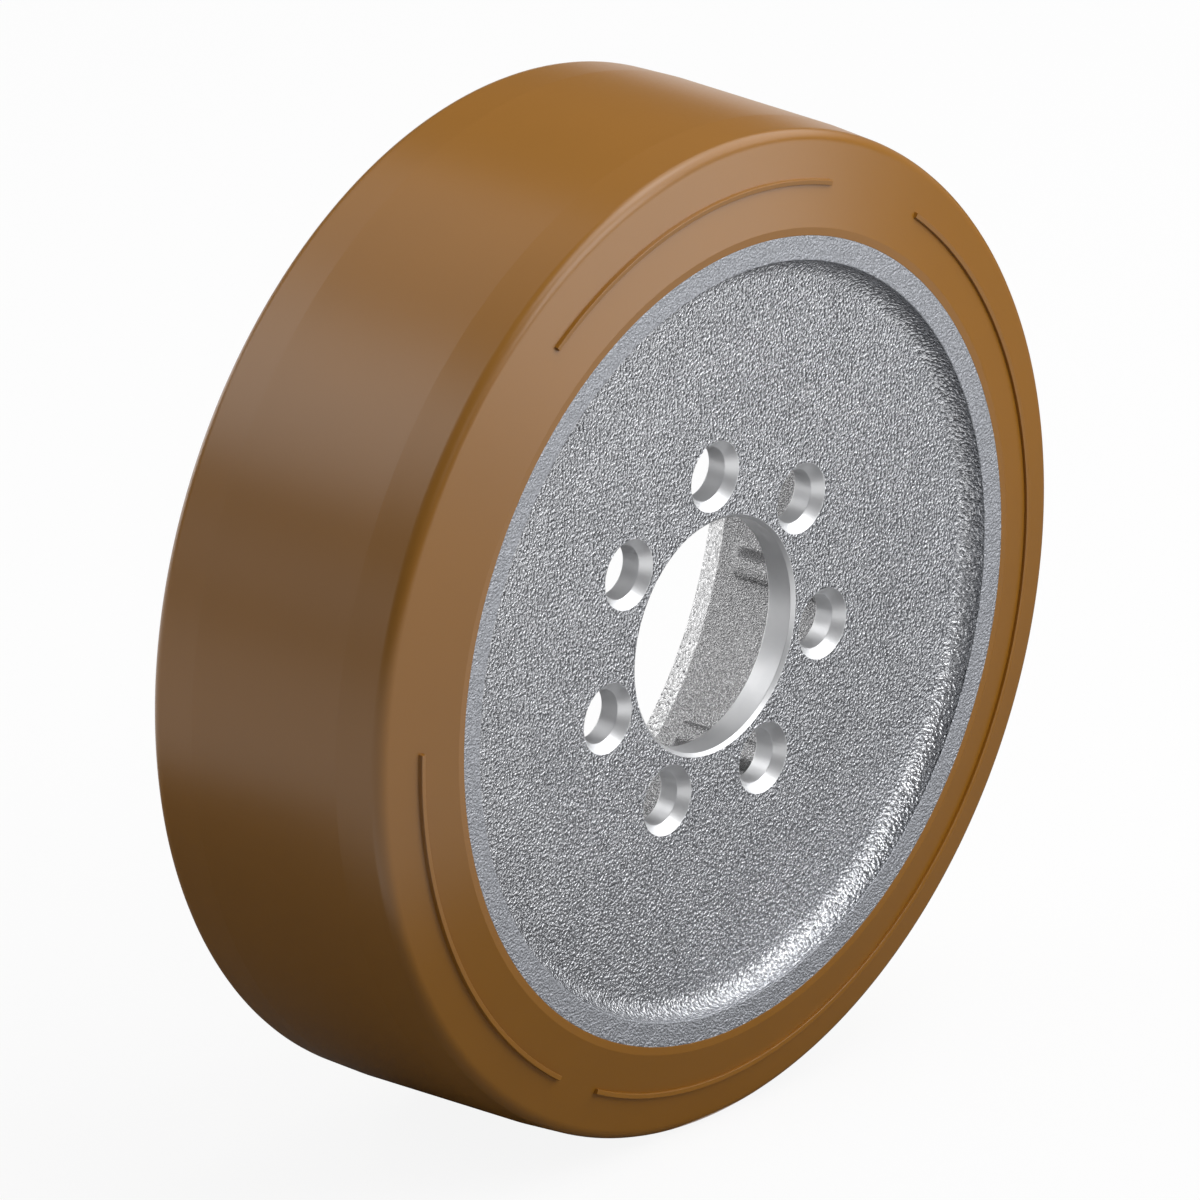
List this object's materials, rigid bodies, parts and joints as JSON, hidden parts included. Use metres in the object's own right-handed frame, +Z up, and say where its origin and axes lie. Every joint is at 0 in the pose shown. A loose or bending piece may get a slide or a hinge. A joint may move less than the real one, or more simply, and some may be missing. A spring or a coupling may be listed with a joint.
{
  "type": "drive wheel",
  "caption": "Flanged drive wheel: dished cast iron centre with a machined bore and countersunk bolt holes, open ribbed inner side, and a moulded polyurethane tread.",
  "frame": {"origin": "centre of the wheel, on its axis and in its mid-plane", "axes": "+Y along the wheel's axis towards the inner side where the drive hub enters, -Y out of the dished outer side, +Z up"},
  "size_m": [0.25, 0.0832, 0.25],
  "materials": {
    "cast_iron": "rough cast skin with a silver-grey coat, machined bright at the bore and bolt holes",
    "polyurethane": "smooth moulded satin, amber brown"
  },
  "bodies": {
    "root": {"wheel_centre": "cast_iron", "tread": "polyurethane"}
  },
  "joints": []
}
